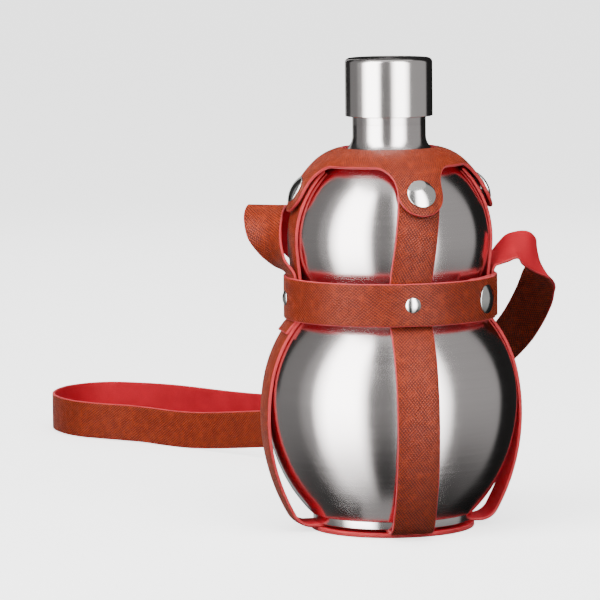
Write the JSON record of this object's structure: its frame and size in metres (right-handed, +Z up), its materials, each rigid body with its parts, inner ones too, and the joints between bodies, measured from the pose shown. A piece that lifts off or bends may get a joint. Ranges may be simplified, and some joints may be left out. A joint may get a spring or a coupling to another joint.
{
  "type": "water bottle with carrying harness",
  "caption": "Gourd-shaped steel flask with a screw cap, held in a strapped leather harness with snap-fastened collar lobes, a riveted waist band and a long shoulder strap",
  "frame": {"origin": "centre of the underside of the leather base disc, on the surface the flask stands on", "axes": "+Z up along the flask's axis, the harness's front strap faces -Y, +X is the side with the waist band's closing flap"},
  "size_m": [0.2166, 0.5329, 0.244],
  "materials": {
    "flask_steel": "brushed round the axis",
    "cap_steel": "brushed round the axis, polished top edge",
    "liner_plastic": "moulded",
    "gasket_rubber": "smooth silicone",
    "brown_leather": "cross-hatched grain outside, red suede-like lining inside, pink-red cut edges",
    "red_leather": "matte, red face up, pink-red cut edge",
    "nickel": "polished nickel plate",
    "spring_steel": "plain spring wire"
  },
  "bodies": {
    "carrier": {"flask_lower_shell": "flask_steel", "flask_upper_shell": "flask_steel", "flask_foot": "flask_steel", "neck_finish": "flask_steel", "neck_thread": "flask_steel", "collar_ring": "brown_leather", "base_disc": "red_leather", "waist_band": "brown_leather", "shoulder_strap": "brown_leather", "strap_front": "brown_leather", "strap_right": "brown_leather", "strap_back": "brown_leather", "strap_left": "brown_leather", "snap_stud_front": "nickel", "snap_stud_right": "nickel", "snap_stud_back": "nickel", "snap_stud_left": "nickel", "snap_post_front": "nickel", "snap_post_right": "nickel", "snap_post_back": "nickel", "snap_post_left": "nickel", "tab_snap_stud": "nickel", "tab_snap_post": "nickel", "waist_rivet_caps": "nickel", "waist_rivet_posts": "nickel"},
    "cap": {"cap_shell": "cap_steel", "cap_liner": "liner_plastic", "cap_thread": "liner_plastic"},
    "cap_lift": {"cap_gasket": "gasket_rubber"},
    "flap_front": {"lobe_front": "brown_leather", "snap_cap_front": "nickel", "snap_socket_front": "nickel", "snap_spring_front": "spring_steel"},
    "flap_right": {"lobe_right": "brown_leather", "snap_cap_right": "nickel", "snap_socket_right": "nickel", "snap_spring_right": "spring_steel"},
    "flap_back": {"lobe_back": "brown_leather", "snap_cap_back": "nickel", "snap_socket_back": "nickel", "snap_spring_back": "spring_steel"},
    "flap_left": {"lobe_left": "brown_leather", "snap_cap_left": "nickel", "snap_socket_left": "nickel", "snap_spring_left": "spring_steel"},
    "flap_waist": {"waist_tab": "brown_leather", "tab_snap_cap": "nickel", "tab_snap_socket": "nickel", "tab_snap_spring": "spring_steel"}
  },
  "joints": [
    {"name": "cap_rise", "type": "slide", "parent": "carrier", "child": "cap_lift", "axis": [0, 0, 1], "range_m": [0, 0.00601]},
    {"name": "cap_turn", "type": "hinge", "parent": "cap_lift", "child": "cap", "pos_m": [0, 0, 0.23], "axis": [0, 0, 1], "range_deg": [0, 540]},
    {"name": "flap_front_hinge", "type": "hinge", "parent": "carrier", "child": "flap_front", "pos_m": [0.00537, -0.04373, 0.18555], "axis": [-0.9925, -0.1219, 0], "range_deg": [0, 80]},
    {"name": "flap_right_hinge", "type": "hinge", "parent": "carrier", "child": "flap_right", "pos_m": [0.04406, 0, 0.18555], "axis": [0, -1, 0], "range_deg": [0, 80]},
    {"name": "flap_back_hinge", "type": "hinge", "parent": "carrier", "child": "flap_back", "pos_m": [0, 0.04406, 0.18555], "axis": [1, 0, 0], "range_deg": [0, 80]},
    {"name": "flap_left_hinge", "type": "hinge", "parent": "carrier", "child": "flap_left", "pos_m": [-0.04406, 0, 0.18555], "axis": [0, 1, 0], "range_deg": [0, 80]},
    {"name": "flap_waist_hinge", "type": "hinge", "parent": "carrier", "child": "flap_waist", "pos_m": [0.03262, -0.0449, 0.121], "axis": [0, 0, -1], "range_deg": [0, 75]}
  ],
  "couplings": [
    {"joint": "cap_rise", "follows": "cap_turn", "m_per_rad": 0.00063662}
  ]
}
